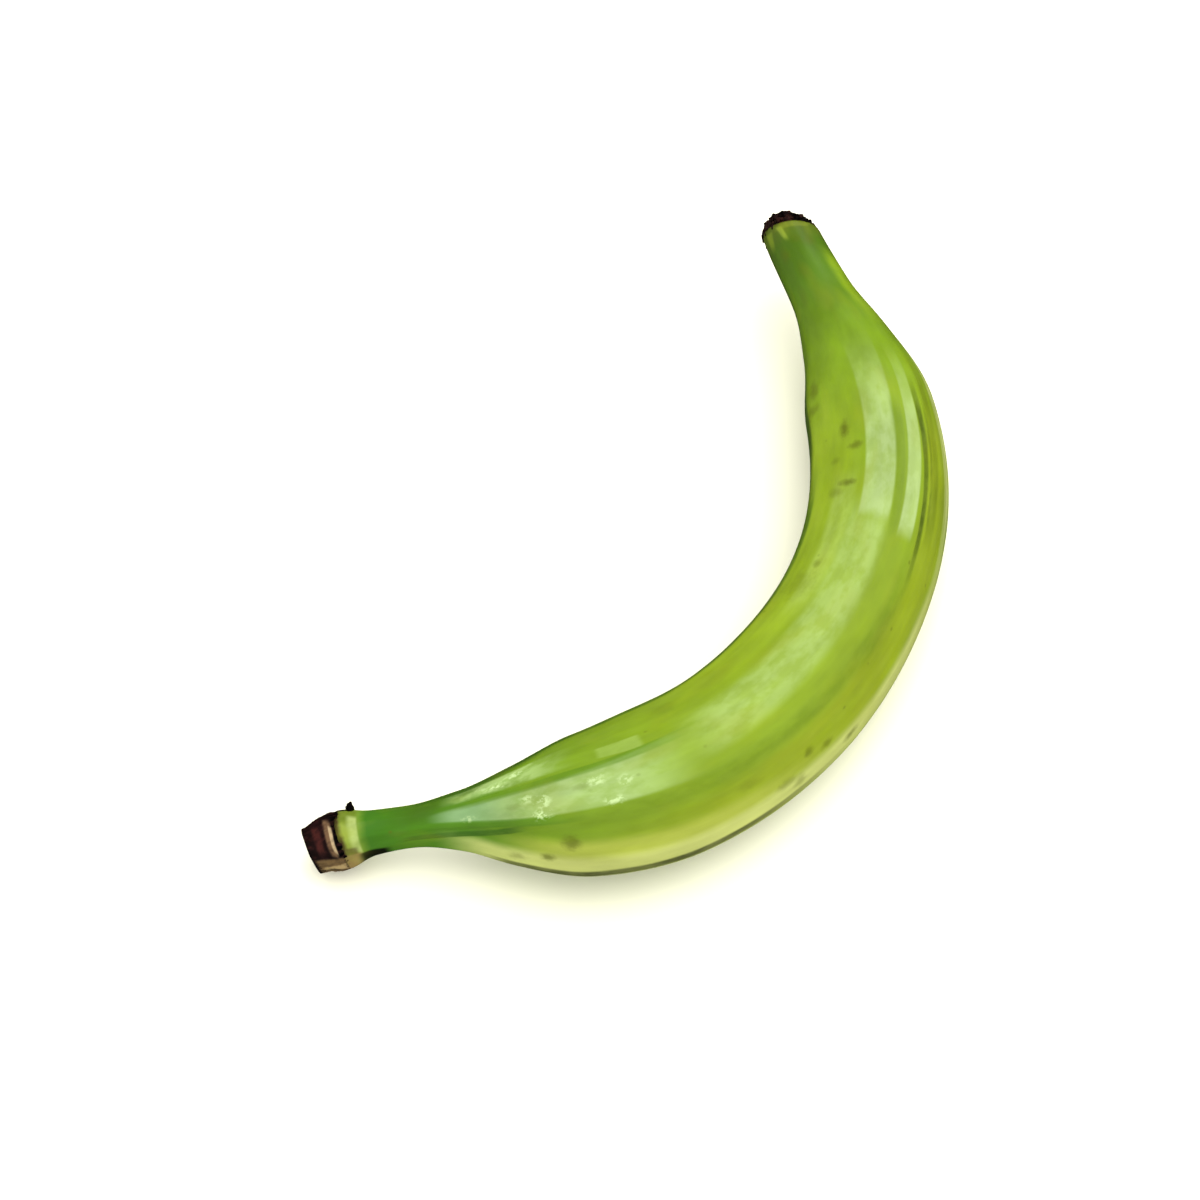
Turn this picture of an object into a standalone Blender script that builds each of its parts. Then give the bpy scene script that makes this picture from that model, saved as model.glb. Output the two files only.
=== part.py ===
"""A green plantain, lying on its side: one closed solid in metres, +Z up.

The fruit grew as one piece, so it is one object. Its middle line is a nearly level arc that starts
at the cut stalk, bulges towards -Y and ends at the blossom end, with the line from end to end
along +X. The section round that line is a rounded polygon with six ridges: two close together on
top, the others spread round the outer side, the belly and the inner side. The origin is on the
floor, under the middle of the fruit's box.
"""

import math
from itertools import accumulate

import bmesh
import bpy
from mathutils import Vector

MM = 0.001

# Driving dimensions, in millimetres. A place is measured along the middle line from the stalk's cut.
LENGTH = 322.0
GREATEST_RADIUS = 22.0
COLLAR = 10.0
NECK = 28.0

# Where the middle line heads in plan, in degrees from +X: (place, heading).
HEADINGS = (
    (0.0, -34.0),
    (20.0, -51.0),
    (45.0, -56.5),
    (80.0, -43.0),
    (120.0, -19.5),
    (160.0, 0.0),
    (205.0, 21.0),
    (240.0, 39.0),
    (275.0, 52.0),
    (300.0, 54.5),
    (LENGTH, 48.0),
)

# The radius over the ridges, as a share of the greatest one: (place, share).
RADII = (
    (0.0, 0.29),
    (COLLAR, 0.385),
    (17.0, 0.29),
    (NECK, 0.267),
    (42.0, 0.376),
    (56.0, 0.613),
    (75.0, 0.893),
    (100.0, 1.0),
    (140.0, 0.998),
    (180.0, 0.972),
    (215.0, 0.983),
    (245.0, 0.945),
    (270.0, 0.665),
    (290.0, 0.46),
    (316.0, 0.4),
    (LENGTH, 0.34),
)

# The height of the middle line over the floor: the stalk droops and the blossom end lifts a little.
HEIGHTS = (
    (0.0, 8.6),
    (COLLAR, 10.0),
    (NECK, 13.0),
    (48.0, 17.0),
    (72.0, 19.6),
    (100.0, 20.4),
    (180.0, 19.9),
    (240.0, 19.6),
    (275.0, 22.0),
    (LENGTH, 25.0),
)

# The ridges round the section, in degrees from the top towards the outer side of the bend, and how
# flat the facets between them are, from 0 for a circle to 1 for a polygon: (place, flatness).
RIDGES = (-132.0, -70.0, -7.0, 33.0, 102.0, 165.0)
RIDGE_SHARPNESS = 36.0
FLATNESS = (
    (0.0, 0.8),
    (COLLAR, 0.7),
    (NECK, 0.5),
    (75.0, 0.45),
    (245.0, 0.45),
    (300.0, 0.25),
    (LENGTH, 0.1),
)

# The cage that Subdivision Surface rounds off. Its rings stand closer together at both ends.
CAGE_SIDES = 20
CAGE_CUTS = 50
CROWDING = 0.09
END_EDGE_CREASE = 0.7
LINE_STEP = 1.0

# The block whose top is the floor. It flattens the side that the fruit rests on.
FLOOR_BLOCK = (0.4, 0.3, 0.02)

PEEL_GREEN = (0.35, 0.5, 0.05, 1.0)
PEEL_ROUGHNESS = 0.35


def slope_at(places, values, i):
    """The slope at station i: the harmonic mean of the spans beside it, or 0 at a crest."""
    slopes = [
        (values[k + 1] - values[k]) / (places[k + 1] - places[k])
        for k in (i - 1, i)
        if 0 <= k < len(places) - 1
    ]
    before, after = slopes[0], slopes[-1]
    return 2 * before * after / (before + after) if before * after > 0 else 0.0


def value_at(stations, place):
    """The value at a place, on a smooth curve through the stations that doesn't overshoot them."""
    places, values = zip(*stations)
    i = max(k for k in range(len(places) - 1) if places[k] <= max(place, places[0]))
    width = places[i + 1] - places[i]
    rise = values[i + 1] - values[i]
    start = slope_at(places, values, i) * width
    end = slope_at(places, values, i + 1) * width
    t = min((place - places[i]) / width, 1.0)
    return values[i] + t * (start + t * (3 * rise - 2 * start - end + t * (start + end - 2 * rise)))


def middle_line():
    """Points every LINE_STEP along the middle line, in millimetres, from the stalk's cut."""
    steps = round(LENGTH / LINE_STEP)
    headings = [math.radians(value_at(HEADINGS, (k + 0.5) * LINE_STEP)) for k in range(steps)]
    across = accumulate((LINE_STEP * math.cos(turn) for turn in headings), initial=0.0)
    along = accumulate((LINE_STEP * math.sin(turn) for turn in headings), initial=0.0)
    heights = (value_at(HEIGHTS, k * LINE_STEP) for k in range(steps + 1))
    return [Vector(point) for point in zip(across, along, heights)]


def facet_share(angle, flatness):
    """The radius at an angle round the section, as a share of the radius over the ridges."""
    total = 0.0
    for here, following in zip(RIDGES, (*RIDGES[1:], RIDGES[0] + 360.0)):
        middle = math.radians(here + following) / 2
        half = math.radians(following - here) / 2
        reach = math.cos(angle - middle) / math.cos(half)
        total += max(reach, 0.0) ** RIDGE_SHARPNESS
    return 1 - flatness * (1 - total ** (-1 / RIDGE_SHARPNESS))


def skin_point(line, place, angle, stand_off):
    """The point over the skin at a place, at an angle from the top towards the outer side."""
    step = min(int(place / LINE_STEP), len(line) - 2)
    centre = line[step].lerp(line[step + 1], place / LINE_STEP - step)
    ahead = (line[step + 1] - line[step]).normalized()
    outward = ahead.cross(Vector((0, 0, 1))).normalized()
    upward = outward.cross(ahead)
    radius = GREATEST_RADIUS * value_at(RADII, place) * stand_off
    radius *= facet_share(angle, value_at(FLATNESS, place))
    return centre + radius * (math.cos(angle) * upward + math.sin(angle) * outward)


def fruit_cage():
    """A capped cylinder cut into rings, then bent and swelled to the fruit's shape."""
    cage = bmesh.new()
    bmesh.ops.create_cone(
        cage, cap_ends=True, segments=CAGE_SIDES, radius1=1.0, radius2=1.0, depth=1.0
    )
    lengthwise = [edge for edge in cage.edges if edge.calc_length() > 0.999]
    bmesh.ops.subdivide_edges(cage, edges=lengthwise, cuts=CAGE_CUTS, use_grid_fill=True)
    crease = cage.edges.layers.float.new("crease_edge")
    for edge in cage.edges:
        if abs(sum(vert.co.z for vert in edge.verts)) > 0.999:
            edge[crease] = END_EDGE_CREASE
    line = middle_line()
    # Subdivision Surface draws a ring of the cage in by this much, so the cage stands off the skin.
    stand_off = 1 / (0.75 + 0.25 * math.cos(math.tau / CAGE_SIDES))
    for vert in cage.verts:
        evenly = vert.co.z + 0.5
        place = LENGTH * (evenly - CROWDING * math.sin(math.tau * evenly))
        angle = math.atan2(vert.co.y, vert.co.x)
        vert.co = skin_point(line, place, angle, stand_off) * MM
    return cage


def peel_material():
    """The peel's plain green."""
    material = bpy.data.materials.new("plantain_peel")
    material.use_nodes = True
    shader = material.node_tree.nodes["Principled BSDF"]
    shader.inputs["Base Color"].default_value = PEEL_GREEN
    shader.inputs["Roughness"].default_value = PEEL_ROUGHNESS
    shader.inputs["Metallic"].default_value = 0.0
    return material


def add_object(name, shape, collection):
    """A new object made from a bmesh, linked to a collection."""
    mesh = bpy.data.meshes.new(name)
    shape.to_mesh(mesh)
    shape.free()
    made = bpy.data.objects.new(name, mesh)
    collection.objects.link(made)
    return made


def add_collection(name):
    """A new collection in the scene."""
    collection = bpy.data.collections.new(name)
    bpy.context.scene.collection.children.link(collection)
    return collection


def floor_block(collection):
    """The cutter under the floor."""
    shape = bmesh.new()
    bmesh.ops.create_cube(shape, size=1.0)
    bmesh.ops.scale(shape, vec=FLOOR_BLOCK, verts=shape.verts)
    block = add_object("floor_block", shape, collection)
    block.location.z = -FLOOR_BLOCK[2] / 2
    block.hide_render = True
    block.display_type = "WIRE"
    return block


def centre_over_origin(fruit):
    """Moves the fruit level, until the middle of its box is over the origin."""
    bpy.context.view_layer.update()
    finished = fruit.evaluated_get(bpy.context.evaluated_depsgraph_get())
    corners = [Vector(corner) for corner in finished.bound_box]
    middle = sum(corners, Vector()) / len(corners)
    fruit.location = (-middle.x, -middle.y, 0.0)


def build_plantain(collection, cutter):
    """The plantain: the rounded cage, flattened where it rests on the floor."""
    fruit = add_object("plantain", fruit_cage(), collection)
    fruit.data.materials.append(peel_material())
    fruit.data.shade_smooth()
    rounding = fruit.modifiers.new("rounding", "SUBSURF")
    rounding.levels = 1
    rounding.render_levels = 1
    centre_over_origin(fruit)
    resting = fruit.modifiers.new("resting_face", "BOOLEAN")
    resting.operation = "DIFFERENCE"
    resting.object = cutter
    return fruit


def main():
    """Clears the scene and builds the plantain in it."""
    for old in list(bpy.data.objects):
        bpy.data.objects.remove(old)
    cutter = floor_block(add_collection("cutters"))
    build_plantain(add_collection("plantain"), cutter)


main()
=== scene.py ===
"""A green plantain on a pale studio floor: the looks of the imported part.

The fruit is swept from a shape rule by Geometry Nodes: rings along its middle line, each a rounded
polygon whose ridges run from the neck to the blossom end. The stalk's dried cut end, the crust at
the blossom end and their torn fibres are pieces of their own, riding on the same body.
"""

import logging
import math
from dataclasses import dataclass
from enum import Enum

import bmesh
import bpy
import numpy as np
from mathutils import Matrix, Vector

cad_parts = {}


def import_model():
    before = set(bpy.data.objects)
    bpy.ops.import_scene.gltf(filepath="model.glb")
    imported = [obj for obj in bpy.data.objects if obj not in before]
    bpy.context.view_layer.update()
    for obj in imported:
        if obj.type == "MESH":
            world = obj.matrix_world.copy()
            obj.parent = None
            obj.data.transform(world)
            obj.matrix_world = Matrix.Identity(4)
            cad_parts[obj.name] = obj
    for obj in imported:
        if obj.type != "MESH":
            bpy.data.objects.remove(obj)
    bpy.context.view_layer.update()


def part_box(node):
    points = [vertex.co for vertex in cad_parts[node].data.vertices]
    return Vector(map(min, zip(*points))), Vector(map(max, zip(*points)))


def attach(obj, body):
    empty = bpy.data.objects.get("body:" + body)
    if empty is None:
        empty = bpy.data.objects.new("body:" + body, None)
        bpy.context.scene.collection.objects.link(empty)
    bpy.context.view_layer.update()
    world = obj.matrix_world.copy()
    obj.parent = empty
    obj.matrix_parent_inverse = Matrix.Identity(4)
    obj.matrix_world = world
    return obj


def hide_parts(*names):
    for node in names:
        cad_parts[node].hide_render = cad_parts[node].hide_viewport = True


LOG = logging.getLogger("plantain")

NODE = "plantain"
BODY = "root"
MM = 0.001

# The vector attribute that says where a point of the skin would be if the fruit were straight.
STRAIGHT = "straight_place"
# Points closer than this are one point: the seam along the skin and the middle of each end.
SEAM = 2e-6
# How far a mark's edge wobbles, and where it starts and is full, in parts of its half size.
MARK_WOBBLE, MARK_RIM, MARK_CORE = 1.2, 1.8, 0.7
# The raggedness of a torn fibre has bumps of about a millimetre, in bumps per metre.
FIBRE_GRAIN = 900.0

MATH = "ShaderNodeMath"
VECTOR = "ShaderNodeVectorMath"
RANGE = "ShaderNodeMapRange"
MIX = "ShaderNodeMix"
NOISE = "ShaderNodeTexNoise"
COMBINE = "ShaderNodeCombineXYZ"
ATTRIBUTE = "GeometryNodeInputNamedAttribute"

Stations = tuple[tuple[float, float], ...]
Shades = tuple[tuple[float, str], ...]
Tree = bpy.types.NodeTree
Node = bpy.types.Node
Socket = bpy.types.NodeSocket
Object = bpy.types.Object
Material = bpy.types.Material


# ------------------------------------------------------------------ small tools


def linear(colour: str) -> tuple[float, float, float, float]:
    """Turns an sRGB hex value to the linear colour that shaders take.

    Args:
        colour: Six hex digits, such as "8fb124".

    Returns:
        Linear red, green, blue and an alpha of 1.
    """
    channels = [int(colour[i : i + 2], 16) / 255 for i in (0, 2, 4)]
    decoded = [c / 12.92 if c <= 0.04045 else ((c + 0.055) / 1.055) ** 2.4 for c in channels]
    return (*decoded, 1.0)


def open_socket(sockets: bpy.types.bpy_prop_collection, key: int | str) -> Socket:
    """Finds a node's socket by its place, or by the name of one that its settings leave in use.

    Args:
        sockets: The node's inputs or outputs.
        key: A place in the list, or a name.

    Returns:
        The socket.
    """
    if isinstance(key, int):
        return sockets[key]
    return next(socket for socket in sockets if socket.name == key and socket.enabled)


def add_node(
    tree: Tree,
    kind: str,
    inputs: tuple[object, ...] | dict[int | str, object] = (),
    operation: str = "",
    **settings: object,
) -> Node:
    """Adds a node with its settings, and links or fills its inputs.

    Args:
        tree: The node tree that gets the node.
        kind: The node's type name in Blender.
        inputs: What its inputs get, in a row from the first or by place or name: a socket to
            link from, a node whose first open output to link from, or a plain value.
        operation: What a maths node does.
        **settings: Other properties of the node, set before its inputs.

    Returns:
        The new node.
    """
    node = tree.nodes.new(kind)
    if operation:
        node.operation = operation
    for name, value in settings.items():
        setattr(node, name, value)
    for key, value in inputs.items() if isinstance(inputs, dict) else enumerate(inputs):
        target = open_socket(node.inputs, key)
        if isinstance(value, Node):
            value = next(socket for socket in value.outputs if socket.enabled)
        if isinstance(value, Socket):
            tree.links.new(value, target)
        else:
            target.default_value = value
    return node


def monotone_curve(stations: Stations, places: np.ndarray) -> np.ndarray:
    """Reads a smooth curve through stations that never overshoots them.

    Args:
        stations: Pairs of place and value, in order of place.
        places: Where to read the curve.

    Returns:
        The curve's value at each place.
    """
    knots, values = np.array(stations, float).T
    slopes = np.diff(values) / np.diff(knots)
    before, after = slopes[:-1], slopes[1:]
    same_way = before * after > 0
    total = np.where(same_way, before + after, 1.0)
    inner = np.where(same_way, 2 * before * after / total, 0.0)
    tangents = np.concatenate([slopes[:1], inner, slopes[-1:]])
    span = np.clip(np.searchsorted(knots, places, side="right") - 1, 0, len(slopes) - 1)
    width = np.diff(knots)[span]
    t = np.clip((places - knots[span]) / width, 0.0, 1.0)
    rise, start, end = np.diff(values)[span], tangents[span] * width, tangents[span + 1] * width
    return values[span] + t * (start + t * (3 * rise - 2 * start - end + t * (start + end - 2 * rise)))


def softened(values: np.ndarray, step: float, reach: float) -> np.ndarray:
    """Blurs evenly spaced values, which takes the kinks out of a curve's bends.

    Args:
        values: The values, step apart.
        step: The distance between two values, in millimetres.
        reach: The blur's standard deviation, in millimetres.

    Returns:
        As many blurred values.
    """
    side = math.ceil(3 * reach / step)
    weights = np.exp(-0.5 * (np.arange(-side, side + 1) * step / reach) ** 2)
    first, last = 2 * values[0] - values[side:0:-1], 2 * values[-1] - values[-2 : -side - 2 : -1]
    padded = np.concatenate([first, values, last])
    return np.convolve(padded, weights / weights.sum(), mode="valid")


def geometry_tree(name: str, sockets: dict[str, str]) -> tuple[Tree, Node]:
    """Starts a Geometry Nodes tree with a geometry in and out and named inputs.

    Args:
        name: The tree's name.
        sockets: For each further input's name, its socket type.

    Returns:
        The tree and its group input node.
    """
    tree = bpy.data.node_groups.new(name, "GeometryNodeTree")
    tree.interface.new_socket("Geometry", in_out="INPUT", socket_type="NodeSocketGeometry")
    tree.interface.new_socket("Geometry", in_out="OUTPUT", socket_type="NodeSocketGeometry")
    for label, kind in sockets.items():
        tree.interface.new_socket(label, in_out="INPUT", socket_type=kind)
    return tree, add_node(tree, "NodeGroupInput")


def end_tree(tree: Tree, shape: Node, material: Socket) -> None:
    """Ends a Geometry Nodes tree: smooth faces, no instances and one material.

    Args:
        tree: The Geometry Nodes tree.
        shape: The node whose first output is the finished shape.
        material: The tree's material input.
    """
    smooth = add_node(tree, "GeometryNodeSetShadeSmooth", {"Geometry": shape})
    real = add_node(tree, "GeometryNodeRealizeInstances", (smooth,))
    dressed = add_node(tree, "GeometryNodeSetMaterial", {"Geometry": real, "Material": material})
    add_node(tree, "NodeGroupOutput", {"Geometry": dressed})


def point_cloud(name: str, points: np.ndarray, values: dict[str, np.ndarray]) -> Object:
    """Makes a mesh of loose points that carry attributes, for Geometry Nodes to build on.

    Args:
        name: The object's name.
        points: The points, in metres, one row each.
        values: For each attribute's name, one number or one vector for each point.

    Returns:
        The new object.
    """
    mesh = bpy.data.meshes.new(name)
    mesh.vertices.add(len(points))
    mesh.vertices.foreach_set("co", points.astype(np.float32).ravel())
    for label, rows in values.items():
        kind, key = ("FLOAT_VECTOR", "vector") if rows.ndim == 2 else ("FLOAT", "value")
        attribute = mesh.attributes.new(label, kind, "POINT")
        attribute.data.foreach_set(key, rows.astype(np.float32).ravel())
    made = bpy.data.objects.new(name, mesh)
    bpy.context.scene.collection.objects.link(made)
    return made


def grown_mesh(points: Object, tree: Tree, values: dict[str, object]) -> Object:
    """Runs a Geometry Nodes tree on points and turns the result into a plain mesh that faces out.

    Args:
        points: The object that the tree builds on. It is removed.
        tree: The Geometry Nodes tree.
        values: For each named input, its value.

    Returns:
        An object of the same name, with the mesh and no modifier.
    """
    modifier = points.modifiers.new(tree.name, "NODES")
    modifier.node_group = tree
    for item in tree.interface.items_tree:
        if item.item_type == "SOCKET" and item.in_out == "INPUT" and item.name in values:
            modifier[item.identifier] = values[item.name]
    bpy.context.view_layer.update()
    evaluated = points.evaluated_get(bpy.context.evaluated_depsgraph_get())
    mesh = bpy.data.meshes.new_from_object(evaluated)
    name = points.name
    bpy.data.objects.remove(points)
    mesh.name = name
    shape = bmesh.new()
    shape.from_mesh(mesh)
    bmesh.ops.recalc_face_normals(shape, faces=shape.faces)
    shape.to_mesh(mesh)
    shape.free()
    made = bpy.data.objects.new(name, mesh)
    bpy.context.scene.collection.objects.link(made)
    return made


# ------------------------------------------------------------------ the shape rule


def facets(ridges: tuple[float, ...]) -> list[tuple[float, float]]:
    """Lists a section's facets.

    Args:
        ridges: The section's ridges, in degrees and in order.

    Returns:
        For each facet between two ridges, its middle angle and half its width, in radians.
    """
    pairs = zip(ridges, (*ridges[1:], ridges[0] + 360.0))
    return [(math.radians(a + b) / 2, math.radians(b - a) / 2) for a, b in pairs]


@dataclass(frozen=True)
class FruitForm:
    """The whole fruit's shape rule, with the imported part's driving dimensions, in millimetres.

    A place is measured along the middle line from the stalk's cut. An angle goes round the section
    from the top towards the outer side of the bend, in degrees.
    """

    length: float = 322.0
    greatest_radius: float = 21.8
    step: float = 0.5
    headings: Stations = (
        (0, -34), (20, -51), (45, -56.5), (80, -43), (120, -19.5), (160, 0), (205, 21), (240, 39),
        (275, 52), (300, 54.5), (322, 48),
    )
    radii: Stations = (
        (0, 0.29), (10, 0.385), (17, 0.29), (28, 0.267), (42, 0.376), (56, 0.613), (75, 0.893),
        (100, 1), (140, 0.998), (180, 0.972), (215, 0.983), (245, 0.945), (270, 0.665), (290, 0.46),
        (316, 0.4), (322, 0.385),
    )
    heights: Stations = (
        (0, 8.6), (10, 10), (28, 13), (48, 17), (72, 19.6), (100, 20.4), (180, 19.9), (240, 19.6),
        (275, 22), (322, 25),
    )
    ridges: tuple[float, ...] = (-132, -70, -7, 33, 102, 165)
    packed_flatness: float = 0.45
    packed_sharpness: float = 36.0
    # How far the sections lean towards the fruit's tip on the inner side, by their radius.
    slants: Stations = ((0, 0), (280, 0), (300, 0.12), (313, 0.33), (322, 0.36))

    def sampled(self, stations: Stations, reach: float) -> np.ndarray:
        """Reads stations every step along the middle line, blurred over reach millimetres."""
        places = np.arange(0.0, self.length + self.step / 2, self.step)
        return softened(monotone_curve(stations, places), self.step, reach)

    def value(self, stations: Stations, places: np.ndarray, reach: float) -> np.ndarray:
        """Reads stations at any places along the middle line, blurred over reach millimetres."""
        sampled = self.sampled(stations, reach)
        return np.interp(places, np.arange(len(sampled)) * self.step, sampled)

    def middle_line(self) -> np.ndarray:
        """Returns points every step along the middle line, from over the origin, in millimetres.

        Returns:
            The points, one row each.
        """
        turns = np.radians(self.sampled(self.headings, 4.0))
        halfway = (turns[1:] + turns[:-1]) / 2
        across = np.concatenate([[0.0], np.cumsum(np.cos(halfway) * self.step)])
        along = np.concatenate([[0.0], np.cumsum(np.sin(halfway) * self.step)])
        return np.column_stack([across, along, self.sampled(self.heights, 4.0)])

    def frames(self, places: np.ndarray) -> tuple[np.ndarray, np.ndarray, np.ndarray]:
        """Finds where the sections at some places stand.

        Args:
            places: Places along the middle line, in millimetres.

        Returns:
            The sections' centres in millimetres, and their upward and outward unit vectors.
        """
        line = self.middle_line()
        ahead = np.gradient(line, axis=0)
        ahead /= np.linalg.norm(ahead, axis=1)[:, None]
        outward = np.cross(ahead, (0.0, 0.0, 1.0))
        outward /= np.linalg.norm(outward, axis=1)[:, None]
        upward = np.cross(outward, ahead)
        at = np.arange(len(line)) * self.step
        rows = np.hstack([line, upward, outward])
        read = np.column_stack([np.interp(places, at, column) for column in rows.T])
        centres, upward, outward = read[:, :3], read[:, 3:6], read[:, 6:]
        slant = monotone_curve(self.slants, places)[:, None]
        return centres, upward, outward - slant * np.cross(upward, outward)

    def box(self) -> tuple[np.ndarray, np.ndarray]:
        """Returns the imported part's lowest and highest corners, with no slant, in millimetres.

        Returns:
            The two corners, for a fruit whose middle line starts over the origin.
        """
        places, angles = np.arange(0.0, self.length), np.linspace(-math.pi, math.pi, 181)
        level = np.zeros_like(angles)
        for middle, half in facets(self.ridges):
            facing = np.maximum(np.cos(angles - middle) / math.cos(half), 0.0)
            level += facing**self.packed_sharpness
        polygon = 1.0 + self.packed_flatness * (level ** (-1.0 / self.packed_sharpness) - 1.0)
        centres, upward, outward = self.frames(places)
        outward += monotone_curve(self.slants, places)[:, None] * np.cross(upward, outward)
        reach = self.radius(places)[:, None] * polygon
        leaning = np.sin(angles)[:, None] * outward[:, None] + np.cos(angles)[:, None] * upward[:, None]
        points = centres[:, None] + reach[..., None] * leaning
        return points.min((0, 1)), points.max((0, 1))

    def radius(self, places: np.ndarray) -> np.ndarray:
        """Returns the radius over the ridges at some places, in millimetres."""
        return self.greatest_radius * self.value(self.radii, places, 1.5)


@dataclass(frozen=True)
class Stroke:
    """A streak that runs along the skin, in millimetres and degrees.

    It goes from one place to another while its middle's angle and its half width change evenly. Its
    sides fade over edge, and its start and end over fades.
    """

    start: float
    end: float
    angles: tuple[float, float]
    widths: tuple[float, float]
    edge: float
    fades: tuple[float, float]

    def mask(self, tree: Tree, place: Socket, angle: Socket, reach: Socket) -> Node:
        """Adds a mask of the stroke.

        Args:
            tree: The tree of a shape or a material.
            place: Where a point is along the fruit, in metres.
            angle: Its angle round the section, in radians.
            reach: Its distance from the middle line, in metres.

        Returns:
            A node whose first output is 1 in the stroke and 0 outside it.
        """
        ends = {0: place, 1: self.start * MM, 2: self.end * MM}
        turns = {3: math.radians(self.angles[0]), 4: math.radians(self.angles[1])}
        sizes = {3: self.widths[0] * MM, 4: self.widths[1] * MM}
        middle, width = add_node(tree, RANGE, ends | turns), add_node(tree, RANGE, ends | sizes)
        off = add_node(tree, MATH, (angle, middle), "SUBTRACT")
        turned = add_node(tree, MATH, (off, math.pi, -math.pi), "WRAP")
        arc = add_node(tree, MATH, (turned, reach), "MULTIPLY")
        gap = add_node(tree, MATH, (arc,), "ABSOLUTE")
        outer = add_node(tree, MATH, (width, self.edge * MM), "ADD")
        across = add_node(tree, RANGE, (gap, outer, width), interpolation_type="SMOOTHSTEP")
        both = across
        for end, fade in ((self.start, self.fades[0]), (self.end, -self.fades[1])):
            limits = {0: place, 1: end * MM, 2: (end + fade) * MM}
            along = add_node(tree, RANGE, limits, interpolation_type="SMOOTHSTEP")
            both = add_node(tree, MATH, (both, along), "MULTIPLY")
        return both


@dataclass(frozen=True)
class Rib:
    """A rib, or a groove where its height in millimetres is below 0."""

    stroke: Stroke
    height: float


@dataclass(frozen=True)
class Relief:
    """One layer of unevenness: its height and its grain along and round the fruit, in millimetres."""

    height: float
    along: float
    round: float


@dataclass
class Rings:
    """The rings that a skin is wrapped round, in order from the stalk's end.

    Places and radii are in millimetres. Shares shrink a ring towards the middle of an end, and are 1
    along the side. Flatness goes from 0 for a circle to 1 for a polygon, sharpness is its ridges'.
    """

    places: np.ndarray
    radii: np.ndarray
    shares: np.ndarray
    flatness: np.ndarray
    sharpness: np.ndarray


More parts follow.
